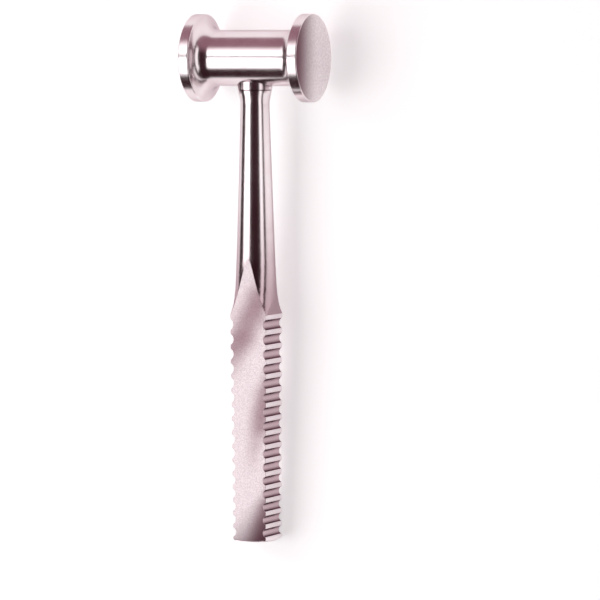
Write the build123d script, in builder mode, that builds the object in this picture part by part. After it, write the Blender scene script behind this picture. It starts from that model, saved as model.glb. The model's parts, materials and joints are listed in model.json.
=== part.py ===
"""Surgical mallet: a turned steel head screwed onto a forged and ground steel handle.

The mallet lies on its side as it comes to rest on a table: on the rims of its two striking flanges
and on the far end of the grip. Millimetres, +X along the head, +Y up the handle, +Z up.
"""

from build123d import *
from math import asin, atan, copysign, cos, degrees, hypot, pi, radians, sin, sqrt, tan
import os

os.makedirs("parts", exist_ok=True)

# Overall length, from the top of a flange to the tip of the grip

overall_length = 240.0

# Head: a spool with two striking flanges

flange_radius = 20.0
flange_thickness = 5.0
head_length = 58.5
body_radius = 12.7
rim_chamfer = 0.6

# Joint between head and handle: a flat seat with a tapped bore above it

seat_below_axis = 10.3
seat_clearance = 0.1
bore_radius = 5.05
bore_depth = 15.5
drill_point_angle = 118.0
spigot_clearance = 0.05
spigot_length = 14.0
spigot_chamfer = 0.8
relief_depth = 0.6
relief_length = 2.0

# Collar and neck at the top of the handle

collar_radius = 7.9
collar_length = 4.0
collar_chamfer = 0.5
collar_step = 0.35
neck_radius = 6.55
neck_length = 6.5

# Tapered shaft, and the forged spread that turns its round section into the grip's square one.
# The spread starts inside the round shaft and comes out through its surface.

shaft_end = 92.0
shaft_end_radius = 8.8
spread_start = 84.0
spread_burial = 0.06
spread_depth_gain = 2.5
spread_width_gain = 2.1
spread_corner_gain = 1.0
spread_sections = 8
spread_points = 24
side_trim_angle = 2.5

# How late each change comes within the spread: it goes with the share passed, to this power

depth_onset = 3
corner_onset = 4
emergence_onset = 6
width_onset = 8

# Grip: two ground flats, and lands with scallops between them on the other two faces

grip_start = 116.2
bar_allowance = 0.05
grip_thickness = 17.7
grip_width_start = 17.9
grip_width_end = 16.2
land_count = 17
land_height = 1.9
last_land_above_tip = 2.05
pitch_shrink = 1.0
scallop_depth = 1.45
land_chamfer = 0.3
end_dome_radius = 50.0
end_chamfer = 0.4

# Sizes that follow from these

tip_below_axis = overall_length - flange_radius
dome_centre = tip_below_axis - end_dome_radius
cove_top = flange_radius - rim_chamfer
cove_radius = cove_top - body_radius
half_thickness = grip_thickness / 2
bar_radius = hypot(grip_width_start / 2, half_thickness) + bar_allowance
collar_end = seat_below_axis + collar_length
neck_end = collar_end + neck_length

# Rest: the flange rims and the end of the lower flat, where the tip's chamfer starts, touch the
# table together. That corner's place below the head's axis gives the tilt.

edge_along = dome_centre + sqrt(end_dome_radius**2 - half_thickness**2) - end_chamfer
tilt = asin(flange_radius / hypot(edge_along, half_thickness)) - atan(half_thickness / edge_along)

# The mallet's own frame: x along the head, y up the handle, z out of the upper flat.
# Its origin is where the two axes cross, set so that the part is centred over the origin below.

axis_y = (dome_centre * cos(tilt) + end_dome_radius - flange_radius) / 2
mallet = Plane(origin=(0, axis_y, flange_radius), x_dir=(1, 0, 0), z_dir=(0, -sin(tilt), cos(tilt)))
head_axis = Axis(mallet.origin, mallet.x_dir)
handle_axis = Axis(mallet.origin, mallet.y_dir)

# Head: one turned piece, with coves between its body and its flanges

half_length = head_length / 2
flange_inner = half_length - flange_thickness

with BuildPart() as head:
    with BuildSketch(mallet):
        with BuildLine():
            Polyline(
                (0, 0),
                (half_length, 0),
                (half_length, flange_radius - rim_chamfer),
                (half_length - rim_chamfer, flange_radius),
                (flange_inner + rim_chamfer, flange_radius),
                (flange_inner, cove_top),
            )
            cove = Bezier(
                (flange_inner, cove_top),
                (flange_inner, body_radius),
                (flange_inner - cove_radius, body_radius),
                weights=(1, sqrt(1 / 2), 1),
            )
            Line(cove @ 1, (0, body_radius))
            mirror(about=Plane.YZ)
        make_face()
    revolve(axis=head_axis)

    # Spot-faced seat and blind tapped bore with its drill point
    bore_end = bore_depth - seat_below_axis
    point_height = bore_radius / tan(radians(drill_point_angle / 2))
    seat_radius = collar_radius + seat_clearance
    with BuildSketch(mallet):
        with BuildLine():
            Polyline(
                (0, -flange_radius),
                (seat_radius, -flange_radius),
                (seat_radius, -seat_below_axis),
                (bore_radius, -seat_below_axis),
                (bore_radius, bore_end),
                (0, bore_end + point_height),
                close=True,
            )
        make_face()
    revolve(axis=handle_axis, mode=Mode.SUBTRACT)

# Handle: one piece, from the spigot in the head to the domed tip of the grip

spigot_radius = bore_radius - spigot_clearance
spigot_top = spigot_length - seat_below_axis
relief_radius = spigot_radius - relief_depth
relief_top = relief_length - seat_below_axis
taper = (shaft_end_radius - neck_radius) / (shaft_end - neck_end)


def shaft_radius(below_axis):
    """Radius of the turned shaft, which thickens evenly toward the grip."""
    return neck_radius + taper * (below_axis - neck_end)


def spread_place(share):
    """How far below the head's axis this share of the spread lies."""
    return spread_start + share * (grip_start - spread_start)


def spread_section(share):
    """Points round a section of the spread: round at its start, deeper and squarer at its end."""
    thickening = shaft_radius(spread_place(share)) - shaft_radius(spread_start)
    emergence = spread_burial * (1 - 2 * (1 - share) ** emergence_onset)
    round_radius = shaft_radius(spread_place(share)) + emergence
    narrowing = thickening * share**depth_onset
    half_width = round_radius - narrowing + spread_width_gain * share**width_onset
    half_depth = round_radius + spread_depth_gain * share**depth_onset
    power = 2 / (2 + spread_corner_gain * share**corner_onset)
    points = []
    for number in range(spread_points):
        turn = 2 * pi * number / spread_points
        along = copysign(abs(cos(turn)) ** power, cos(turn))
        up = copysign(abs(sin(turn)) ** power, sin(turn))
        points.append((half_width * along, half_depth * up))
    return points


def grip_half_width(below_axis):
    """Half the grip's width over its lands, which narrows slightly toward the tip."""
    share = (below_axis - grip_start) / (tip_below_axis - grip_start)
    return (grip_width_start + share * (grip_width_end - grip_width_start)) / 2


def land_centre(number):
    """Middle of a land, below the head's axis. The pitch shortens evenly toward the tip."""
    first = grip_start + land_height / 2
    pitch = (tip_below_axis - last_land_above_tip - first) / (land_count - 1)
    bulge = pitch_shrink * number * (land_count - 1 - number) / (2 * (land_count - 2))
    return first + pitch * number + bulge


def is_land_edge(corner):
    """True for the corners between lands and scallops, whose edges are broken."""
    below = -corner.Y
    return grip_start + land_height / 2 < below < tip_below_axis - land_height / 2


with BuildPart() as handle:
    # Turned length: spigot with its relief, collar, neck and tapered shaft
    with BuildSketch(mallet):
        with BuildLine():
            turned = Polyline(
                (0, -shaft_end),
                (0, spigot_top),
                (spigot_radius - spigot_chamfer, spigot_top),
                (spigot_radius, spigot_top - spigot_chamfer),
                (spigot_radius, relief_top + relief_depth),
                (relief_radius, relief_top),
                (relief_radius, -seat_below_axis),
                (collar_radius - collar_chamfer, -seat_below_axis),
                (collar_radius, -seat_below_axis - collar_chamfer),
                (collar_radius, -collar_end),
                (collar_radius - collar_step, -collar_end),
            )
            neck = Spline(turned @ 1, (neck_radius, -neck_end), tangents=((0, -1), (taper, -1)))
            Polyline(neck @ 1, (shaft_radius(shaft_end), -shaft_end), (0, -shaft_end))
        make_face()
    revolve(axis=handle_axis)

    # Forged spread, from inside the round shaft to the start of the grip
    for number in range(spread_sections, -1, -1):
        share = number / spread_sections
        origin = mallet.from_local_coords((0, -spread_place(share), 0))
        with BuildSketch(Plane(origin=origin, x_dir=mallet.x_dir, z_dir=mallet.y_dir)):
            with BuildLine():
                Spline(*spread_section(share), periodic=True)
            make_face()
    loft()

    # Round bar with a domed end, from which the grip is milled
    with BuildSketch(mallet):
        with BuildLine():
            dome_sweep = degrees(asin(bar_radius / end_dome_radius))
            dome = CenterArc((0, -dome_centre), end_dome_radius, -90, dome_sweep)
            Polyline(dome @ 1, (bar_radius, -grip_start), (0, -grip_start), dome @ 0)
        make_face()
    revolve(axis=handle_axis)

    # Milled outline seen from above the flats, with the lands and scallops along both edges.
    # Its depth grinds the two flats, which run out in a lancet point on the shaft.
    side_trim = (grip_start - shaft_end) * tan(radians(side_trim_angle))
    with BuildSketch(mallet) as outline:
        with BuildLine():
            Polyline(
                (0, spigot_top),
                (flange_radius, spigot_top),
                (flange_radius, -shaft_end),
                (grip_half_width(grip_start) + side_trim, -shaft_end),
                (grip_half_width(grip_start), -grip_start),
            )
            edge = Line(
                (grip_half_width(grip_start), -grip_start),
                (grip_half_width(grip_start + land_height), -grip_start - land_height),
            )
            for number in range(1, land_count):
                land_top = land_centre(number) - land_height / 2
                land_bottom = land_centre(number) + land_height / 2
                if number == land_count - 1:
                    land_bottom = tip_below_axis
                below = (land_top - (edge @ 1).Y) / 2
                scallop = ThreePointArc(
                    edge @ 1,
                    (grip_half_width(below) - scallop_depth, -below),
                    (grip_half_width(land_top), -land_top),
                )
                edge = Line(scallop @ 1, (grip_half_width(land_bottom), -land_bottom))
            Line(edge @ 1, (0, -tip_below_axis))
            mirror(about=Plane.YZ)
        make_face()
        land_edges = outline.vertices().filter_by(is_land_edge)
        chamfer(land_edges, land_chamfer)
    extrude(amount=half_thickness, both=True, mode=Mode.INTERSECT)
    tip = handle.faces().sort_by(handle_axis)[0]
    chamfer(tip.edges(), end_chamfer)

for name, piece in (("head", head), ("handle", handle)):
    piece.part.label = name
    export_step(piece.part, f"parts/{name}.step")
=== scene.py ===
# %% [markdown]
# # A surgical mallet in polished steel
#
# The mallet is two pieces of stainless steel: a turned head shaped like a spool, and a handle that is
# turned at the top and milled and ground at the grip. It lies on a white table, on the rims of its two
# striking flanges and on the far end of the grip, and the camera looks down on it.
#
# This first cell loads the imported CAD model. Its two nodes stay where they are, and everything else is
# made around them, in metres and in the same frame.

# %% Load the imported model

import json
from math import atan2, cos, degrees, pi, radians, sin

import bmesh
import bpy
from mathutils import Matrix, Vector


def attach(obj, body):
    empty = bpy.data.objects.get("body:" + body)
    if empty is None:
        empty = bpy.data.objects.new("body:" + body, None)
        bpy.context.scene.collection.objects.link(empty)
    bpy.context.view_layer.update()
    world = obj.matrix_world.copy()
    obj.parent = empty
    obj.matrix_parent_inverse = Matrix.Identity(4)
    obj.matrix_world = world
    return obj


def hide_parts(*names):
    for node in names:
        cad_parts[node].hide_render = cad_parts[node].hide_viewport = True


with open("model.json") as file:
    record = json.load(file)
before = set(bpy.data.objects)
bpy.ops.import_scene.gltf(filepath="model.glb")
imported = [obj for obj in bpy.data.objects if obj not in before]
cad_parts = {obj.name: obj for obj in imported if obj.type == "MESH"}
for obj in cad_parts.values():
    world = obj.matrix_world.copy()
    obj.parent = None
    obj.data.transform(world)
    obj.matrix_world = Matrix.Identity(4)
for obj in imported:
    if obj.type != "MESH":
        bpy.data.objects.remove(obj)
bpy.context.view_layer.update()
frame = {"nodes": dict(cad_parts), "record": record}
scene = bpy.context.scene
MM = 0.001

# %% [markdown]
# ## The mallet's own axes
#
# The mallet lies slightly nose-down, so its handle isn't quite level. The record's mounts say where its
# own axes are: the striking face gives a point on the head's axis, and the grip's flat gives the
# direction square to the flats. Everything that follows the mallet, such as the camera and the
# patterns in the steel, is worked out from these two.

# %% Head axis, handle axis and tilt

mounts = {mount["name"]: mount for mount in frame["record"]["mounts"]}
half_head = abs(mounts["strike_face_right"]["pos_m"][0])
axis_point = Vector((0, *mounts["strike_face_right"]["pos_m"][1:]))
across = Vector((1, 0, 0))
out_of_flat = Vector(mounts["grip_flat"]["axis"]).normalized()
up_handle = out_of_flat.cross(across)
tilt = atan2(up_handle.z, up_handle.y)
half_thickness = (Vector(mounts["grip_flat"]["pos_m"]) - axis_point).dot(out_of_flat)
print(f"tilt {degrees(tilt):.3f} degrees, flats {2 * half_thickness / MM:.2f} mm apart")

# %% [markdown]
# ## Camera
#
# The picture is a catalogue plate, drawn from straight in front with the right end of the head turned
# toward the eye. A long lens gives the same near-parallel look. Its angles, distance and aim come from
# the places of the head's rims and the grip's edges in the picture, and they are given in the mallet's
# own axes: the camera hangs above the lying mallet, and up in the picture is up the handle.

# %% Camera

camera_turn = radians(23.96)
camera_dip = radians(-3.66)
camera_roll = radians(0.29)
camera_distance = 2.2
camera_aim = Vector((0.02045, -0.10957))
pixels_per_metre = 2209.0
image_width = 600
sensor_width = 36.0

turn = Matrix.Rotation(-camera_turn, 3, "Z")
dip = Matrix.Rotation(-camera_dip, 3, "X")
roll = Matrix.Rotation(-camera_roll, 3, "Y")
to_camera = roll @ dip @ turn
upright_to_lying = Matrix((across, -out_of_flat, up_handle)).transposed()
right, ahead, above = (upright_to_lying @ row for row in to_camera)
eye = axis_point + camera_aim.x * right + camera_aim.y * above - camera_distance * ahead

camera = bpy.data.objects.new("camera", bpy.data.cameras.new("camera"))
scene.collection.objects.link(camera)
scene.camera = camera
camera.matrix_world = Matrix.Translation(eye) @ Matrix((right, above, -ahead)).transposed().to_4x4()
camera.data.sensor_width = sensor_width
camera.data.lens = sensor_width * pixels_per_metre * camera_distance / image_width
camera.data.clip_start = 0.1
camera.data.clip_end = 50
print(f"camera {camera_distance} m away, {camera.data.lens:.0f} mm lens")

# %% [markdown]
# ## Helpers for node trees
#
# Colours are written as sRGB hex values, as a paint program gives them. Blender computes with linear
# light, so one function turns them. A second one adds a node with its settings and its links, so that
# each tree below reads from top to bottom like a recipe. It serves materials and Geometry Nodes alike.

# %% Colour and node helpers


def colour(hex_value):
    """Linear RGBA of an sRGB hex value such as #EFE0E4."""
    channels = [int(hex_value[i : i + 2], 16) / 255 for i in (1, 3, 5)]
    linear = [c / 12.92 if c <= 0.04045 else ((c + 0.055) / 1.055) ** 2.4 for c in channels]
    return (*linear, 1.0)


def node(tree, kind, inputs=None, **settings):
    """Adds a node. Settings are its properties; inputs are values or the sockets that feed it."""
    made = tree.nodes.new(kind)
    for name, value in settings.items():
        setattr(made, name, value)
    for key, value in (inputs or {}).items():
        for item in value if isinstance(value, list) else [value]:
            if isinstance(item, bpy.types.NodeSocket):
                tree.links.new(item, made.inputs[key])
            else:
                made.inputs[key].default_value = item
    return made


def new_material(name):
    """An empty node material and its tree."""
    material = bpy.data.materials.new(name)
    material.use_nodes = True
    material.node_tree.nodes.clear()
    return material, material.node_tree


print("middle grey #808080 is", round(colour("#808080")[0], 3), "in linear light")

# %% [markdown]
# ## Polished steel of the head
#
# The head is turned from bar on a lathe and then polished, so it mirrors the room in clear stripes.
# Real polish isn't perfect. Fine turning marks run round the axis, and wiping leaves the gloss a little
# uneven. The flat striking faces are left satin, because they are dressed on fine abrasive: they
# scatter the light in a fine grain instead of mirroring.
#
# One material carries both finishes. It finds the striking faces by their place along the head's axis,
# so nothing has to be unwrapped or painted.

# %% Where the head's patterns are measured from

head_steel, tree = new_material("stainless_steel_turned_and_polished")
place = node(tree, "ShaderNodeTexCoord")
own = node(
    tree,
    "ShaderNodeMapping",
    {"Vector": place.outputs["Object"], "Location": -axis_point},
)
parts = node(tree, "ShaderNodeSeparateXYZ", {0: own.outputs[0]})
off_axis = node(tree, "ShaderNodeCombineXYZ", {"Y": parts.outputs["Y"], "Z": parts.outputs["Z"]})
radius = node(tree, "ShaderNodeVectorMath", {0: off_axis.outputs[0]}, operation="LENGTH")
along = node(tree, "ShaderNodeMath", {0: parts.outputs["X"]}, operation="ABSOLUTE")
print("patterns measured from, in mm:", [round(value / MM, 2) for value in axis_point])

# %% Turning marks and wipe marks

# Real turning marks are about 0.05 mm apart. They are drawn five times coarser, so that the
# picture, at half a millimetre to the pixel, still shows a trace of them.
turning_pitch = 0.25 * MM
marks_place = node(tree, "ShaderNodeCombineXYZ", {"X": parts.outputs["X"], "Y": radius.outputs["Value"]})
marks = node(
    tree,
    "ShaderNodeTexNoise",
    {"Vector": marks_place.outputs[0], "Scale": 1 / turning_pitch, "Detail": 2.0},
    noise_dimensions="2D",
)
wipe_size = 14 * MM
wipe_distortion = 0.6
wipes = node(
    tree,
    "ShaderNodeTexNoise",
    {"Vector": own.outputs[0], "Scale": 1 / wipe_size, "Detail": 3.0, "Distortion": wipe_distortion},
)
print(f"turning marks {turning_pitch / MM} mm apart, wipe marks about {wipe_size / MM} mm")

# %% Mask of the satin striking faces

face_depth = 0.05 * MM
face_line = half_head - face_depth
on_face = node(
    tree,
    "ShaderNodeMapRange",
    {"Value": along.outputs[0], "From Min": face_line - face_depth, "From Max": face_line},
)
# The blasted grain is about 0.1 mm in life, and is drawn at 0.5 mm to show as a fine stipple.
grain_size = 0.5 * MM
grain = node(
    tree,
    "ShaderNodeTexNoise",
    {"Vector": own.outputs[0], "Scale": 1 / grain_size, "Detail": 1.0},
)
# Painted shade: the face is darker on the side that is up.
face_shade_start = -6 * MM
face_shade_full = 20 * MM
face_shade = node(
    tree,
    "ShaderNodeMapRange",
    {"Value": parts.outputs["Z"], "From Min": face_shade_start, "From Max": face_shade_full},
    interpolation_type="SMOOTHSTEP",
)
print(f"satin from {face_line / MM:.2f} mm out along the axis")

# %% [markdown]
# ### Colour and gloss of the head
#
# Stainless steel is a nearly neutral mirror, and its colour is what the mirror keeps of the light. The
# greys of the picture are warm, so all tints here lean to rose. A Mix node of colours takes its share
# at socket 0 and its two colours at sockets 6 and 7, and gives the result at output 2.

# %% Colour of the head

# A noise stays near its middle. What lies between these two is spread over the range that is wanted.
noise_low = 0.3
noise_high = 0.7
gloss_dark = "#DCD0D3"
gloss_light = "#E8DFE1"
wiped = node(
    tree,
    "ShaderNodeMapRange",
    {"Value": wipes.outputs[0], "From Min": noise_low, "From Max": noise_high},
)
gloss_tint = node(
    tree,
    "ShaderNodeMix",
    {0: wiped.outputs[0], 6: colour(gloss_dark), 7: colour(gloss_light)},
    data_type="RGBA",
)
# Ambient occlusion darkens the coves at the roots of the flanges with painted shade.
root_reach = 9 * MM
cove_shade_share = 0.65
open_root = 0.95
deep_root = 0.5
root = node(tree, "ShaderNodeAmbientOcclusion", {"Distance": root_reach}, samples=8, only_local=True)
cove_shade = node(
    tree,
    "ShaderNodeMapRange",
    {
        "Value": root.outputs["AO"],
        "From Min": open_root,
        "From Max": deep_root,
        "To Max": cove_shade_share,
    },
)
turned_tint_with_cove_shade = node(
    tree,
    "ShaderNodeMix",
    {0: cove_shade.outputs[0], 6: gloss_tint.outputs[2], 7: colour("#8C747B")},
    data_type="RGBA",
)
# The striking face runs from light below to dark above: painted shade.
face_tint = node(
    tree,
    "ShaderNodeMix",
    {0: face_shade.outputs[0], 6: colour("#FDF8F9"), 7: colour("#6E4D57")},
    data_type="RGBA",
)
face_stipple = 0.32
stippled = node(
    tree,
    "ShaderNodeMapRange",
    {"Value": grain.outputs[0], "From Min": noise_low, "From Max": noise_high, "To Max": face_stipple},
)
satin_tint = node(
    tree,
    "ShaderNodeMix",
    {0: stippled.outputs[0], 6: face_tint.outputs[2], 7: colour("#785863")},
    data_type="RGBA",
)
tint = node(
    tree,
    "ShaderNodeMix",
    {0: on_face.outputs[0], 6: turned_tint_with_cove_shade.outputs[2], 7: satin_tint.outputs[2]},
    data_type="RGBA",
)
print(f"the coves are up to {cove_shade_share:.0%} darker steel, the stipple up to {face_stipple:.0%}")

# %% Roughness of the head

gloss_low = 0.18
gloss_high = 0.24
wipe_low = -0.015
wipe_high = 0.025
face_roughness = 0.46
marks_gloss = node(
    tree,
    "ShaderNodeMapRange",
    {
        "Value": marks.outputs[0],
        "From Min": noise_low,
        "From Max": noise_high,
        "To Min": gloss_low,
        "To Max": gloss_high,
    },
)
wipes_gloss = node(
    tree,
    "ShaderNodeMapRange",
    {
        "Value": wipes.outputs[0],
        "From Min": noise_low,
        "From Max": noise_high,
        "To Min": wipe_low,
        "To Max": wipe_high,
    },
)
gloss_roughness = node(
    tree,
    "ShaderNodeMath",
    {0: marks_gloss.outputs[0], 1: wipes_gloss.outputs[0]},
    operation="ADD",
)
roughness = node(
    tree,
    "ShaderNodeMix",
    {0: on_face.outputs[0], 2: gloss_roughness.outputs[0], 3: face_roughness},
    data_type="FLOAT",
)
print(f"roughness {gloss_low} to {gloss_high} turned, {face_roughness} on the striking faces")

# %% Relief, and the finished steel of the head

bump_strength = 0.15
bump_depth = 0.01 * MM
relief = node(
    tree,
    "ShaderNodeMix",
    {0: on_face.outputs[0], 2: marks.outputs[0], 3: grain.outputs[0]},
    data_type="FLOAT",
)
bump = node(
    tree,
    "ShaderNodeBump",
    {"Height": relief.outputs[0], "Strength": bump_strength, "Distance": bump_depth},
)
# A clear mirror with soft, brushed-looking edges to its stripes: a fine polish over turning marks.
# Steel reflects a little darker where it is seen at a slant, which draws a thin line round each form.
grazing_tint = "#D3C8CC"
steel = node(
    tree,
    "ShaderNodeBsdfPrincipled",
    {
        "Base Color": tint.outputs[2],
        "Metallic": 1.0,
        "Roughness": roughness.outputs[0],
        "Specular Tint": colour(grazing_tint),
        "Normal": bump.outputs[0],
    },
)
node(tree, "ShaderNodeOutputMaterial", {"Surface": steel.outputs[0]})
print(f"{head_steel.name}: {len(tree.nodes)} nodes")

# %% [markdown]
# ## The head, turned by Geometry Nodes
#
# The head is a form of revolution, so one outline and one axis say all of its shape. On a lathe the
# tool follows that outline. Here a short chain of points is the outline, each corner carries the
# radius that it is rounded to, and Geometry Nodes round the corners and turn the outline about the
# axis. The CAD head has small flat chamfers on its rims; this one has true roundings, which catch
# the light as a fine line. It keeps the CAD head's size and place, and stands for it.

# %% Outline of half the spool, mirrored

flange_radius = 20.0 * MM
flange_thickness = 5.0 * MM
body_radius = 12.7 * MM
rim_rounding = 0.55 * MM
cove_rounding = 6.65 * MM
support = 0.35 * MM
body_steps = 8

flange_inner = half_head - flange_thickness
cove_end = flange_inner - cove_rounding - support
half_outline = [
    (half_head, 0.0, 0.0),
    (half_head, flange_radius - rim_rounding - support, 0.0),
    (half_head, flange_radius, rim_rounding),
    (half_head - flange_thickness / 2, flange_radius, 0.0),
    (flange_inner, flange_radius, rim_rounding),
    (flange_inner, body_radius, cove_rounding),
]
half_outline += [(cove_end * (1 - step / body_steps), body_radius, 0.0) for step in range(body_steps)]
outline = half_outline + [(0.0, body_radius, 0.0)]
outline += [(-x, radius, rounding) for x, radius, rounding in reversed(half_outline)]
print(f"{len(outline)} points in the outline")

# %% The outline as an object, with a rounding on each point

mesh = bpy.data.meshes.new("head_outline")
mesh.from_pydata(
    [(x, radius, 0) for x, radius, rounding in outline],
    [(number, number + 1) for number in range(len(outline) - 1)],
    [],
)
roundings = mesh.attributes.new("rounding", "FLOAT", "POINT")
roundings.data.foreach_set("value", [rounding for x, radius, rounding in outline])
outline_object = bpy.data.objects.new("head_outline", mesh)
scene.collection.objects.link(outline_object)
print(f"roundings from {rim_rounding / MM} to {cove_rounding / MM} mm")

# %% [markdown]
# ### The lathe tree
#
# The rounded outline becomes a row of points. A grid has one row of its own for each of them and one
# column for each step round the axis, and every grid point is moved to its place on the turned form.
# Where the grid closes on itself and on the axis, its doubles are merged. Then the flat seat, the
# bore and its drill point are cut with a boolean, as they are on the real head after turning.

# %% Geometry Nodes: inputs

lathe = bpy.data.node_groups.new("turn_spool", "GeometryNodeTree")
lathe.is_modifier = True
lathe.interface.new_socket("Outline", in_out="INPUT", socket_type="NodeSocketGeometry")
sizes = {
    "Steps Round": ("NodeSocketInt", 192),
    "Seat Radius": ("NodeSocketFloat", 8.0 * MM),
    "Seat Below Axis": ("NodeSocketFloat", 10.3 * MM),
    "Bore Radius": ("NodeSocketFloat", 5.05 * MM),
    "Bore End": ("NodeSocketFloat", 5.2 * MM),
    "Drill Point": ("NodeSocketFloat", 3.03 * MM),
    "Axis Point": ("NodeSocketVector", axis_point),
    "Tilt": ("NodeSocketFloat", tilt),
    "Steel": ("NodeSocketMaterial", head_steel),
}
for name, (kind, value) in sizes.items():
    lathe.interface.new_socket(name, in_out="INPUT", socket_type=kind)
lathe.interface.new_socket("Head", in_out="OUTPUT", socket_type="NodeSocketGeometry")
given = node(lathe, "NodeGroupInput").outputs
print("inputs:", ", ".join(sizes))

# %% Geometry Nodes: round the outline's corners

rounding = node(lathe, "GeometryNodeInputNamedAttribute", {"Name": "rounding"}, data_type="FLOAT")
chain = node(lathe, "GeometryNodeMeshToCurve", {"Mesh": given["Outline"]})
# A wide cove gets more steps than a fine rim: six, and three more for each millimetre of radius.
fewest_steps = 6.0
more_steps = 3 / MM
steps = node(
    lathe,
    "ShaderNodeMath",
    {0: rounding.outputs["Attribute"], 1: more_steps, 2: fewest_steps},
    operation="MULTIPLY_ADD",
)
rounded = node(
    lathe,
    "GeometryNodeFilletCurve",
    {"Curve": chain.outputs[0], "Radius": rounding.outputs["Attribute"], "Count": steps.outputs[0]},
    mode="POLY",
)
profile = node(lathe, "GeometryNodeCurveToMesh", {"Curve": rounded.outputs[0]})
print(f"the cove is turned in {fewest_steps + more_steps * cove_rounding:.0f} steps")

# %% Geometry Nodes: turn it about the axis

rows = node(lathe, "GeometryNodeAttributeDomainSize", {"Geometry": profile.outputs[0]})
columns = node(lathe, "ShaderNodeMath", {0: given["Steps Round"], 1: 1.0}, operation="ADD")
grid = node(
    lathe,
    "GeometryNodeMeshGrid",
    {"Vertices X": rows.outputs["Point Count"], "Vertices Y": columns.outputs[0]},
)
index = node(lathe, "GeometryNodeInputIndex")
ratio = node(lathe, "ShaderNodeMath", {0: index.outputs[0], 1: columns.outputs[0]}, operation="DIVIDE")
row = node(lathe, "ShaderNodeMath", {0: ratio.outputs[0]}, operation="FLOOR")
column = node(lathe, "ShaderNodeMath", {0: index.outputs[0], 1: columns.outputs[0]}, operation="MODULO")
where = node(lathe, "GeometryNodeInputPosition")
sampled = node(
    lathe,
    "GeometryNodeSampleIndex",
    {"Geometry": profile.outputs[0], "Value": where.outputs[0], "Index": row.outputs[0]},
    data_type="FLOAT_VECTOR",
)
spot = node(lathe, "ShaderNodeSeparateXYZ", {0: sampled.outputs[0]})
share = node(lathe, "ShaderNodeMath", {0: column.outputs[0], 1: given["Steps Round"]}, operation="DIVIDE")
angle = node(lathe, "ShaderNodeMath", {0: share.outputs[0], 1: 2 * pi}, operation="MULTIPLY")
cosine = node(lathe, "ShaderNodeMath", {0: angle.outputs[0]}, operation="COSINE")
sine = node(lathe, "ShaderNodeMath", {0: angle.outputs[0]}, operation="SINE")
turned_y = node(
    lathe,
    "ShaderNodeMath",
    {0: spot.outputs["Y"], 1: cosine.outputs[0]},
    operation="MULTIPLY",
)
turned_z = node(
    lathe,
    "ShaderNodeMath",
    {0: spot.outputs["Y"], 1: sine.outputs[0]},
    operation="MULTIPLY",
)
turned = node(
    lathe,
    "ShaderNodeCombineXYZ",
    {"X": spot.outputs["X"], "Y": turned_y.outputs[0], "Z": turned_z.outputs[0]},
)
open_spool = node(
    lathe,
    "GeometryNodeSetPosition",
    {"Geometry": grid.outputs[0], "Position": turned.outputs[0]},
)
merge_distance = 0.002 * MM
spool = node(
    lathe,
    "GeometryNodeMergeByDistance",
    {"Geometry": open_spool.outputs[0], "Distance": merge_distance},
)
print(f"doubles merge within {merge_distance / MM} mm")

# %% Geometry Nodes: seat, bore and drill point

drill_steps = 96


def drill(foot, height, foot_radius, top_radius):
    """A round cutter that stands on the handle's axis, from its foot upward."""
    cutter = node(
        lathe,
        "GeometryNodeMeshCone",
        {"Vertices": drill_steps, "Depth": height, "Radius Bottom": foot_radius, "Radius Top": top_radius},
    )
    lift = node(lathe, "ShaderNodeCombineXYZ", {"Y": foot})
    stood = node(
        lathe,
        "GeometryNodeTransform",
        {"Geometry": cutter.outputs[0], "Translation": lift.outputs[0], "Rotation": (-pi / 2, 0, 0)},
    )
    return stood.outputs[0]


# Both cutters start below the head, this many times as far from its axis as the seat is.
seat_start = 2.5
bore_start = 2.0
seat_foot = node(
    lathe,
    "ShaderNodeMath",
    {0: given["Seat Below Axis"], 1: -seat_start},
    operation="MULTIPLY",
)
seat_reach = node(
    lathe,
    "ShaderNodeMath",
    {0: given["Seat Below Axis"], 1: seat_start - 1},
    operation="MULTIPLY",
)
bore_foot = node(
    lathe,
    "ShaderNodeMath",
    {0: given["Seat Below Axis"], 1: -bore_start},
    operation="MULTIPLY",
)
bore_reach = node(
    lathe,
    "ShaderNodeMath",
    {0: given["Bore End"], 1: bore_foot.outputs[0]},
    operation="SUBTRACT",
)
cutters = [
    drill(seat_foot.outputs[0], seat_reach.outputs[0], given["Seat Radius"], given["Seat Radius"]),
    drill(bore_foot.outputs[0], bore_reach.outputs[0], given["Bore Radius"], given["Bore Radius"]),
    drill(given["Bore End"], given["Drill Point"], given["Bore Radius"], 0.0),
]
cut = node(
    lathe,
    "GeometryNodeMeshBoolean",
    {"Mesh 1": spool.outputs[0], "Mesh 2": cutters, "Self Intersection": True},
    operation="DIFFERENCE",
    solver="EXACT",
)
print(f"{len(cutters)} cutters, {drill_steps} steps round each")

# %% Geometry Nodes: shading, place and finish

sharp_angle = radians(25)
crease = node(lathe, "GeometryNodeInputMeshEdgeAngle")
smooth = node(
    lathe,
    "FunctionNodeCompare",
    {"A": crease.outputs["Unsigned Angle"], "B": sharp_angle},
    data_type="FLOAT",
    operation="LESS_THAN",
)
shaded = node(
    lathe,
    "GeometryNodeSetShadeSmooth",
    {"Geometry": cut.outputs[0], "Shade Smooth": smooth.outputs[0]},
    domain="EDGE",
)
tilted = node(lathe, "ShaderNodeCombineXYZ", {"X": given["Tilt"]})
laid = node(
    lathe,
    "GeometryNodeTransform",
    {"Geometry": shaded.outputs[0], "Translation": given["Axis Point"], "Rotation": tilted.outputs[0]},
)
real = node(lathe, "GeometryNodeRealizeInstances", {"Geometry": laid.outputs[0]})
finished = node(lathe, "GeometryNodeSetMaterial", {"Geometry": real.outputs[0], "Material": given["Steel"]})
node(lathe, "NodeGroupOutput", {"Head": finished.outputs[0]})
print(f"{lathe.name}: {len(lathe.nodes)} nodes")

# %% Run the tree and keep its mesh

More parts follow.
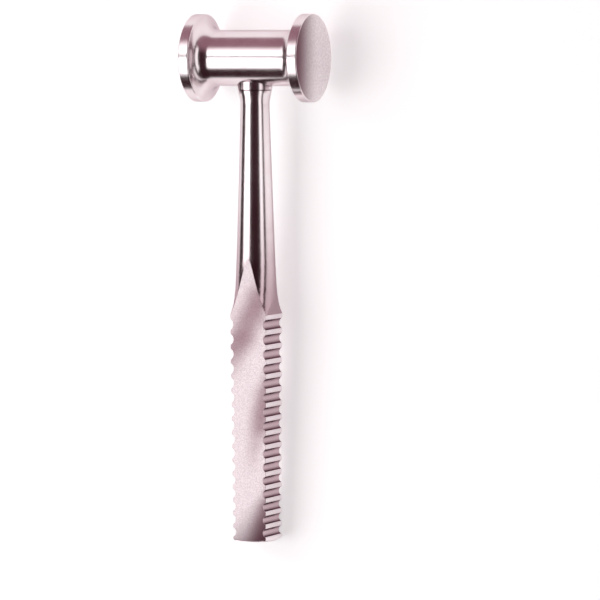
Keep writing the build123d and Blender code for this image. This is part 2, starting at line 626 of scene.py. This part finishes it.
turning = outline_object.modifiers.new("turn_spool", "NODES")
turning.node_group = lathe
for socket in lathe.interface.items_tree:
    if socket.in_out == "INPUT" and socket.name in sizes:
        turning[socket.identifier] = sizes[socket.name][1]
turned_form = outline_object.evaluated_get(bpy.context.evaluated_depsgraph_get())
head_mesh = bpy.data.meshes.new_from_object(turned_form)
outline_object.modifiers.remove(turning)
bpy.data.objects.remove(outline_object)

head = bpy.data.objects.new("turned_head", head_mesh)
scene.collection.objects.link(head)
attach(head, "root")
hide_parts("head")

measured = bmesh.new()
measured.from_mesh(head_mesh)
open_edges = sum(not edge.is_manifold for edge in measured.edges)
head_volume = measured.calc_volume() / MM**3
print(f"head: {len(head_mesh.polygons)} faces, {open_edges} open edges, {head_volume:.0f} mm3")
measured.free()

# %% [markdown]
# ## Steel of the handle
#
# The handle carries three finishes on one forging. Its shaft and collar are turned and polished like
# the head. The two ground flats are blasted to a satin that doesn't dazzle the surgeon. The
# corrugated sides are polished over their lands, which the hand rubs bright, and duller in the
# scallops between them. The lands' light colour is partly that rubbing and partly a painted
# highlight, and the scallops carry painted shade and a painted highlight.
#
# The finishes are told apart by place again, now in the mallet's own axes: the flats lie at a fixed
# height, and the lands follow a line that narrows slightly toward the tip.

# %% The handle's own axes

handle_steel, tree = new_material("stainless_steel_polished_and_blasted")
place = node(tree, "ShaderNodeTexCoord")
from_axis = node(
    tree,
    "ShaderNodeVectorMath",
    {0: place.outputs["Object"], 1: axis_point},
    operation="SUBTRACT",
)
own = node(
    tree,
    "ShaderNodeMapping",
    {"Vector": from_axis.outputs[0], "Rotation": (-tilt, 0, 0)},
)
parts = node(tree, "ShaderNodeSeparateXYZ", {0: own.outputs[0]})
sideways = node(tree, "ShaderNodeMath", {0: parts.outputs["X"]}, operation="ABSOLUTE")
out = node(tree, "ShaderNodeMath", {0: parts.outputs["Z"]}, operation="ABSOLUTE")
print(f"the handle's patterns are turned {degrees(tilt):.3f} degrees, as it lies")

# %% Masks of the flats, the lands and the scallops

mask_edge = 0.03 * MM
flat_line = half_thickness - mask_edge
on_flat = node(
    tree,
    "ShaderNodeMapRange",
    {"Value": out.outputs[0], "From Min": flat_line - mask_edge, "From Max": flat_line},
)

# Half the width over the lands, at the start of the grip and at its tip
grip_top = -116.2 * MM
grip_tip = -220.0 * MM
land_at_top = 17.9 / 2 * MM
land_at_tip = 16.2 / 2 * MM
land_line = node(
    tree,
    "ShaderNodeMapRange",
    {
        "Value": parts.outputs["Y"],
        "From Min": grip_top,
        "From Max": grip_tip,
        "To Min": land_at_top,
        "To Max": land_at_tip,
    },
)
sunk = node(
    tree,
    "ShaderNodeMath",
    {0: land_line.outputs[0], 1: sideways.outputs[0]},
    operation="SUBTRACT",
)
# How far inside that line the scallops start, and where the painted highlight on their floors does
scallop_start = 0.2 * MM
scallop_full = 0.32 * MM
scallop_highlight_start = 0.8 * MM
scallop_highlight_full = 1.42 * MM
in_scallop = node(
    tree,
    "ShaderNodeMapRange",
    {"Value": sunk.outputs[0], "From Min": scallop_start, "From Max": scallop_full},
)
scallop_highlight = node(
    tree,
    "ShaderNodeMapRange",
    {"Value": sunk.outputs[0], "From Min": scallop_highlight_start, "From Max": scallop_highlight_full},
)
grip_fade = 0.1 * MM
on_grip = node(
    tree,
    "ShaderNodeMapRange",
    {"Value": parts.outputs["Y"], "From Min": grip_top + grip_fade, "From Max": grip_top - grip_fade},
)
dull = node(
    tree,
    "ShaderNodeMath",
    {0: in_scallop.outputs[0], 1: on_grip.outputs[0]},
    operation="MULTIPLY",
)
print(f"satin from {flat_line / MM:.2f} mm out, scallops dull from {scallop_start / MM} mm deep")

# %% Turning marks, wipe marks and grain of the handle

marks_place = node(tree, "ShaderNodeCombineXYZ", {"X": parts.outputs["Y"]})
marks = node(
    tree,
    "ShaderNodeTexNoise",
    {"Vector": marks_place.outputs[0], "Scale": 1 / turning_pitch, "Detail": 2.0},
    noise_dimensions="2D",
)
wipes = node(
    tree,
    "ShaderNodeTexNoise",
    {"Vector": own.outputs[0], "Scale": 1 / wipe_size, "Detail": 3.0, "Distortion": wipe_distortion},
)
grain = node(
    tree,
    "ShaderNodeTexNoise",
    {"Vector": own.outputs[0], "Scale": 1 / grain_size, "Detail": 1.0},
)
print(f"as on the head: marks {turning_pitch / MM}, wipes {wipe_size / MM}, grain {grain_size / MM} mm")

# %% [markdown]
# ### Painted shade clouds in the satin
#
# Broad soft clouds of painted shade lie over the satin flats. They run slantwise across the flat,
# one about every 52 mm. A cosine along a slanted line gives such a row, and the wipe marks make it
# drift, so that no two are alike.

# %% Painted shade clouds along the flats

cloud_length = 52 * MM
first_cloud = 119.5 * MM
cloud_slant = -1.8
slant = node(
    tree,
    "ShaderNodeMath",
    {0: parts.outputs["X"], 1: cloud_slant, 2: parts.outputs["Y"]},
    operation="MULTIPLY_ADD",
)
cloud_angle = node(
    tree,
    "ShaderNodeMath",
    {0: slant.outputs[0], 1: 2 * pi / cloud_length, 2: 2 * pi * first_cloud / cloud_length},
    operation="MULTIPLY_ADD",
)
cloud = node(tree, "ShaderNodeMath", {0: cloud_angle.outputs[0]}, operation="COSINE")
cloud_drift = 0.3
cloud_thin = -1.1
cloud_thick = 1.5
cloud_most = 0.9
drift = node(
    tree,
    "ShaderNodeMapRange",
    {
        "Value": wipes.outputs[0],
        "From Min": noise_low,
        "From Max": noise_high,
        "To Min": -cloud_drift,
        "To Max": cloud_drift,
    },
)
drifting = node(
    tree,
    "ShaderNodeMath",
    {0: cloud.outputs[0], 1: drift.outputs[0]},
    operation="ADD",
)
cloud_shade = node(
    tree,
    "ShaderNodeMapRange",
    {
        "Value": drifting.outputs[0],
        "From Min": cloud_thin,
        "From Max": cloud_thick,
        "To Max": cloud_most,
    },
    interpolation_type="SMOOTHSTEP",
)
print(f"a cloud every {cloud_length / MM:.0f} mm, the first {first_cloud / MM} mm below the head's axis")

# %% Where the painted shade clouds reach, and the painted shade at the tip

# Below the first cloud, the painted shade lies only along the right side of the flat.
right_side_start = -4 * MM
right_side_full = 7 * MM
lower_grip_start = -132 * MM
lower_grip_full = -150 * MM
right_side = node(
    tree,
    "ShaderNodeMapRange",
    {"Value": parts.outputs["X"], "From Min": right_side_start, "From Max": right_side_full},
    interpolation_type="SMOOTHSTEP",
)
lower_grip = node(
    tree,
    "ShaderNodeMapRange",
    {"Value": parts.outputs["Y"], "From Min": lower_grip_start, "From Max": lower_grip_full},
)
reach = node(
    tree,
    "ShaderNodeMix",
    {0: lower_grip.outputs[0], 2: 1.0, 3: right_side.outputs[0]},
    data_type="FLOAT",
)
clouds = node(tree, "ShaderNodeMath", {0: cloud_shade.outputs[0], 1: reach.outputs[0]}, operation="MULTIPLY")
# Painted shade: the tip is the darkest place, and more so toward its right corner.
tip_slant = -1.0
tip_start = -198 * MM
tip_full = -229 * MM
tip_place = node(
    tree,
    "ShaderNodeMath",
    {0: parts.outputs["X"], 1: tip_slant, 2: parts.outputs["Y"]},
    operation="MULTIPLY_ADD",
)
tip_shade = node(
    tree,
    "ShaderNodeMapRange",
    {"Value": tip_place.outputs[0], "From Min": tip_start, "From Max": tip_full},
    interpolation_type="SMOOTHSTEP",
)
print(f"the tip darkens from {-tip_start / MM:.0f} mm below the head's axis")

# %% [markdown]
# ### Edges and corners
#
# Hands and cloths polish the outer edges of a tool, so the edges are lightened, partly as that wear and
# partly as a painted highlight; the inner corners are darkened with painted shade. Both are found by
# the shape itself: a Bevel node tells where the surface turns an edge, and an Ambient Occlusion node
# tells where it stands close to other steel.

# %% Rounded edges

# The long edges of the flats are only broken with a stone, about 0.25 mm. The Bevel node bends the
# light over them without any geometry, and the same bend marks where the edges get a lighter colour:
# partly polish by the hand, partly a painted highlight.
edge_rounding = 0.3 * MM
soft_edge = node(tree, "ShaderNodeBevel", {"Radius": edge_rounding}, samples=6)
surface = node(tree, "ShaderNodeNewGeometry")
# The shaft and its run into the spread have no edges, so they keep their own normals.
shaft_foot = -91 * MM
spread_top = -92 * MM
below_shaft = node(
    tree,
    "ShaderNodeMapRange",
    {"Value": parts.outputs["Y"], "From Min": shaft_foot, "From Max": spread_top},
)
softened = node(
    tree,
    "ShaderNodeMix",
    {0: below_shaft.outputs[0], 4: surface.outputs["Normal"], 5: soft_edge.outputs[0]},
    data_type="VECTOR",
)
bend = node(
    tree,
    "ShaderNodeVectorMath",
    {0: softened.outputs[1], 1: surface.outputs["Normal"]},
    operation="DOT_PRODUCT",
)
# The dot product of the two normals is 1 where the surface is even, and smaller over an edge.
even = 0.985
bent = 0.9
edge_wear_and_highlight = node(
    tree,
    "ShaderNodeMapRange",
    {"Value": bend.outputs["Value"], "From Min": even, "From Max": bent},
)
print(f"edges rounded to {edge_rounding / MM} mm by light alone")

# %% Painted shade in the corners and under the collar

corner_reach = 0.9 * MM
open_corner = 0.8
tight_corner = 0.35
corner = node(tree, "ShaderNodeAmbientOcclusion", {"Distance": corner_reach}, samples=8)
corner_shade = node(
    tree,
    "ShaderNodeMapRange",
    {"Value": corner.outputs["AO"], "From Min": open_corner, "From Max": tight_corner},
)

collar_foot = -14.3 * MM
collar_line = 0.45 * MM
below_collar = node(
    tree,
    "ShaderNodeMath",
    {0: parts.outputs["Y"], 1: collar_foot - collar_line / 2},
    operation="SUBTRACT",
)
from_line = node(tree, "ShaderNodeMath", {0: below_collar.outputs[0]}, operation="ABSOLUTE")
under_collar = node(
    tree,
    "ShaderNodeMapRange",
    {"Value": from_line.outputs[0], "From Min": collar_line / 2, "From Max": collar_line / 3},
)
crease_shade = node(
    tree,
    "ShaderNodeMath",
    {0: corner_shade.outputs[0], 1: under_collar.outputs[0]},
    operation="MAXIMUM",
)
# The paste printed here is the painted shade of the corners and of the line under the collar.
print(f"paste within {corner_reach / MM} mm of a corner, and in a {collar_line / MM} mm line")

# %% [markdown]
# ### Colour and gloss of the handle
#
# The masks now choose between the finishes and the painted light and shade, from the shaft to the
# lands and scallops, then the flats over them, and the lighter edges and the shaded corners last.

# %% Colour of the shaft, the lands and the scallops

wiped = node(
    tree,
    "ShaderNodeMapRange",
    {"Value": wipes.outputs[0], "From Min": noise_low, "From Max": noise_high},
)
gloss_tint = node(
    tree,
    "ShaderNodeMix",
    {0: wiped.outputs[0], 6: colour(gloss_dark), 7: colour(gloss_light)},
    data_type="RGBA",
)
# Painted shade: the shaft darkens toward the spread, and the side of the spread is darker than the polished
# shaft above it.
shaft_shade_start = -60 * MM
shaft_shade_full = -114 * MM
shaft_shade_share = 0.75
shaft_shade = node(
    tree,
    "ShaderNodeMapRange",
    {
        "Value": parts.outputs["Y"],
        "From Min": shaft_shade_start,
        "From Max": shaft_shade_full,
        "To Max": shaft_shade_share,
    },
    interpolation_type="SMOOTHSTEP",
)
shaft_tint = node(
    tree,
    "ShaderNodeMix",
    {0: shaft_shade.outputs[0], 6: gloss_tint.outputs[2], 7: colour("#A07F89")},
    data_type="RGBA",
)
# The grip's lands are lightened toward white: partly rubbed bright, partly a painted highlight.
land_highlight_tint = node(
    tree,
    "ShaderNodeMix",
    {0: on_grip.outputs[0], 6: shaft_tint.outputs[2], 7: colour("#F8F0F2")},
    data_type="RGBA",
)
# Painted shade darkens the scallops near their edges, and a painted highlight lightens their floors.
scallop_shade_and_highlight = node(
    tree,
    "ShaderNodeMix",
    {0: scallop_highlight.outputs[0], 6: colour("#5A3742"), 7: colour("#D3BDC3")},
    data_type="RGBA",
)
side_tint = node(
    tree,
    "ShaderNodeMix",
    {0: dull.outputs[0], 6: land_highlight_tint.outputs[2], 7: scallop_shade_and_highlight.outputs[2]},
    data_type="RGBA",
)
print(f"filed from {-shaft_shade_start / MM:.0f} to {-shaft_shade_full / MM:.0f} mm below the head's axis")

# %% Colour of the flats, the edges and the corners

# The clouds are painted shade on the flats, and the tip's painted shade is laid over them.
cloud_shade_tint = node(
    tree,
    "ShaderNodeMix",
    {0: clouds.outputs[0], 6: colour("#EBE0E3"), 7: colour("#977780")},
    data_type="RGBA",
)
flat_tint = node(
    tree,
    "ShaderNodeMix",
    {0: tip_shade.outputs[0], 6: cloud_shade_tint.outputs[2], 7: colour("#40202B")},
    data_type="RGBA",
)
flat_stipple = 0.28
stippled = node(
    tree,
    "ShaderNodeMapRange",
    {"Value": grain.outputs[0], "From Min": noise_low, "From Max": noise_high, "To Max": flat_stipple},
)
satin_tint = node(
    tree,
    "ShaderNodeMix",
    {0: stippled.outputs[0], 6: flat_tint.outputs[2], 7: colour("#6B4A55")},
    data_type="RGBA",
)
finish_tint = node(
    tree,
    "ShaderNodeMix",
    {0: on_flat.outputs[0], 6: side_tint.outputs[2], 7: satin_tint.outputs[2]},
    data_type="RGBA",
)
# The edges are lightened, partly as polish and partly as a painted highlight.
edge_tint = node(
    tree,
    "ShaderNodeMix",
    {0: edge_wear_and_highlight.outputs[0], 6: finish_tint.outputs[2], 7: colour("#EADDE0")},
    data_type="RGBA",
)
# The corners and the line under the collar are darkened with painted shade.
tint = node(
    tree,
    "ShaderNodeMix",
    {0: crease_shade.outputs[0], 6: edge_tint.outputs[2], 7: colour("#4A2A33")},
    data_type="RGBA",
)
print(f"the stipple on the flats is up to {flat_stipple:.0%} darker steel")

# %% Roughness of the handle

scallop_roughness = 0.25
flat_roughness = 0.5
marks_gloss = node(
    tree,
    "ShaderNodeMapRange",
    {
        "Value": marks.outputs[0],
        "From Min": noise_low,
        "From Max": noise_high,
        "To Min": gloss_low,
        "To Max": gloss_high,
    },
)
wipes_gloss = node(
    tree,
    "ShaderNodeMapRange",
    {
        "Value": wipes.outputs[0],
        "From Min": noise_low,
        "From Max": noise_high,
        "To Min": wipe_low,
        "To Max": wipe_high,
    },
)
gloss_roughness = node(
    tree,
    "ShaderNodeMath",
    {0: marks_gloss.outputs[0], 1: wipes_gloss.outputs[0]},
    operation="ADD",
)
side_roughness = node(
    tree,
    "ShaderNodeMix",
    {0: dull.outputs[0], 2: gloss_roughness.outputs[0], 3: scallop_roughness},
    data_type="FLOAT",
)
roughness = node(
    tree,
    "ShaderNodeMix",
    {0: on_flat.outputs[0], 2: side_roughness.outputs[0], 3: flat_roughness},
    data_type="FLOAT",
)
print(f"roughness {scallop_roughness} in the scallops and {flat_roughness} on the flats")

# %% Relief, and the finished steel of the handle

relief = node(
    tree,
    "ShaderNodeMix",
    {0: on_flat.outputs[0], 2: marks.outputs[0], 3: grain.outputs[0]},
    data_type="FLOAT",
)
bump = node(
    tree,
    "ShaderNodeBump",
    {
        "Height": relief.outputs[0],
        "Strength": bump_strength,
        "Distance": bump_depth,
        "Normal": softened.outputs[1],
    },
)
# Mirror stripes on the shaft beside a soft, grainy satin on the flats, as on a hand-finished tool.
steel = node(
    tree,
    "ShaderNodeBsdfPrincipled",
    {
        "Base Color": tint.outputs[2],
        "Metallic": 1.0,
        "Roughness": roughness.outputs[0],
        "Specular Tint": colour(grazing_tint),
        "Normal": bump.outputs[0],
    },
)
node(tree, "ShaderNodeOutputMaterial", {"Surface": steel.outputs[0]})

for slot in frame["nodes"]["handle"].material_slots:
    slot.material = handle_steel
print(f"{handle_steel.name}: {len(tree.nodes)} nodes")

# %% [markdown]
# ## Table and backdrop
#
# The mallet lies on a wide sheet of white paper. Real paper in a well-lit studio is nearly as bright as
# the picture can show, so a little glow is added where the camera, or the steel, looks at it. The
# paper's own colour still takes the soft shadow.

# %% White paper

floor_size = 6.0
corners = [(-1, -1), (1, -1), (1, 1), (-1, 1)]
mesh = bpy.data.meshes.new("paper")
mesh.from_pydata([(x * floor_size / 2, y * floor_size / 2, 0) for x, y in corners], [], [(0, 1, 2, 3)])
floor = bpy.data.objects.new("paper", mesh)
scene.collection.objects.link(floor)

paper, tree = new_material("white_paper_matt")
rays = node(tree, "ShaderNodeLightPath")
mirrored = node(
    tree,
    "ShaderNodeMath",
    {0: rays.outputs["Is Glossy Ray"], 1: rays.outputs["Is Transmission Ray"]},
    operation="MAXIMUM",
)
glow_in_steel = 0.66
glow_in_view = 0.54
mirrored_glow = node(
    tree,
    "ShaderNodeMath",
    {0: mirrored.outputs[0], 1: glow_in_steel},
    operation="MULTIPLY",
)
level = node(
    tree,
    "ShaderNodeMath",
    {0: rays.outputs["Is Camera Ray"], 1: glow_in_view, 2: mirrored_glow.outputs[0]},
    operation="MULTIPLY_ADD",
)
glow = node(tree, "ShaderNodeEmission", {"Strength": level.outputs[0]})
matt = node(tree, "ShaderNodeBsdfDiffuse", {"Color": colour("#F4F4F4")})
both = node(tree, "ShaderNodeAddShader", {0: matt.outputs[0], 1: glow.outputs[0]})
node(tree, "ShaderNodeOutputMaterial", {"Surface": both.outputs[0]})
floor.data.materials.append(paper)
print(f"paper {floor_size} m wide, glow {glow_in_view} to the camera and {glow_in_steel} in the steel")

# %% [markdown]
# ## The dark studio around it
#
# Polished steel shows mostly what stands around it. The dark stripes along the head and the shaft are
# the studio's walls, in a deep wine red, and they are paler at the far end, beyond the head. A
# camera ray that passes the paper's edge sees plain white.

# %% World

world = bpy.data.worlds.new("studio")
scene.world = world
world.use_nodes = True
tree = world.node_tree
tree.nodes.clear()
rays = node(tree, "ShaderNodeLightPath")
way = node(tree, "ShaderNodeTexCoord")
split = node(tree, "ShaderNodeSeparateXYZ", {0: way.outputs["Generated"]})
# The direction's Y runs from 0, square to the handle, to 1, straight beyond the head.
far_wall_start = 0.2
far_wall_full = 0.7
far_end = node(
    tree,
    "ShaderNodeMapRange",
    {"Value": split.outputs["Y"], "From Min": far_wall_start, "From Max": far_wall_full},
    interpolation_type="SMOOTHSTEP",
)
wall_colour = "#33141C"
far_wall_colour = "#A07884"
walls = node(
    tree,
    "ShaderNodeMix",
    {0: far_end.outputs[0], 6: colour(wall_colour), 7: colour(far_wall_colour)},
    data_type="RGBA",
)
dark = node(tree, "ShaderNodeBackground", {"Color": walls.outputs[2]})
white = node(tree, "ShaderNodeBackground", {"Color": (1, 1, 1, 1)})
mix = node(
    tree,
    "ShaderNodeMixShader",
    {0: rays.outputs["Is Camera Ray"], 1: dark.outputs[0], 2: white.outputs[0]},
)
node(tree, "ShaderNodeOutputWorld", {"Surface": mix.outputs[0]})
print(f"walls {wall_colour}, and {far_wall_colour} beyond the head")

# %% [markdown]
# ## Softboxes
#
# Long softboxes beside the mallet give the steel its white stripes. The two on the left stand end to
# end with a gap between them, and the gap is the fine dark line along the middle of the head. They
# are brightest at the gap and fade away from it, so that no stripe is even from end to end. A narrow
# softbox on the right draws the second bright stripe down the shaft.

# %% Lights

softbox_distance = 1.5
key_radiance = 3.2
strip_radiance = 1.5


def softbox(name, angle, width, start, end, radiance, bright_end=None, far_share=1.0):
    """A soft lamp along the handle, at an angle from straight up that is positive to the right.

    With a bright end, its light fades from there to the far share at the other end.
    """
    lamp = bpy.data.lights.new(name, "AREA")
    lamp.shape = "RECTANGLE"
    lamp.size = width
    lamp.size_y = end - start
    lamp.energy = radiance * pi * width * (end - start)
    body = bpy.data.objects.new(name, lamp)
    scene.collection.objects.link(body)
    outward = Vector((sin(radians(angle)), 0, cos(radians(angle))))
    sideways = Vector((cos(radians(angle)), 0, -sin(radians(angle))))
    place = outward * softbox_distance + Vector((0, (start + end) / 2, 0))
    facing = Matrix((sideways, Vector((0, 1, 0)), outward)).transposed().to_4x4()
    body.matrix_world = Matrix.Translation(place) @ facing
    if bright_end is not None:
        lamp.use_nodes = True
        tree = lamp.node_tree
        tree.nodes.clear()
        spot = node(tree, "ShaderNodeNewGeometry")
        split = node(tree, "ShaderNodeSeparateXYZ", {0: spot.outputs["Position"]})
        fade = node(
            tree,
            "ShaderNodeMapRange",
            {
                "Value": split.outputs["Y"],
                "From Min": bright_end,
                "From Max": start + end - bright_end,
                "To Min": 1.0,
                "To Max": far_share,
            },
        )
        glow = node(tree, "ShaderNodeEmission", {"Strength": fade.outputs[0]})
        node(tree, "ShaderNodeOutputLight", {"Surface": glow.outputs[0]})


key_angle = -36
key_width = 1.15
row_start = -1.2
gap_start = 0.06
gap_end = 0.28
row_end = 1.3
strip_angle = 64
strip_width = 0.55
strip_start = -0.9
strip_end = 0.8
softbox("key_upper", key_angle, key_width, gap_end, row_end, key_radiance, gap_end, far_share=0.03)
softbox("key_lower", key_angle, key_width, row_start, gap_start, key_radiance, gap_start, far_share=0.5)
softbox("side_strip", strip_angle, strip_width, strip_start, strip_end, strip_radiance)

scene.view_settings.view_transform = "Standard"
print(f"softboxes {softbox_distance} m away, with a gap of {gap_end - gap_start:.2f} m")
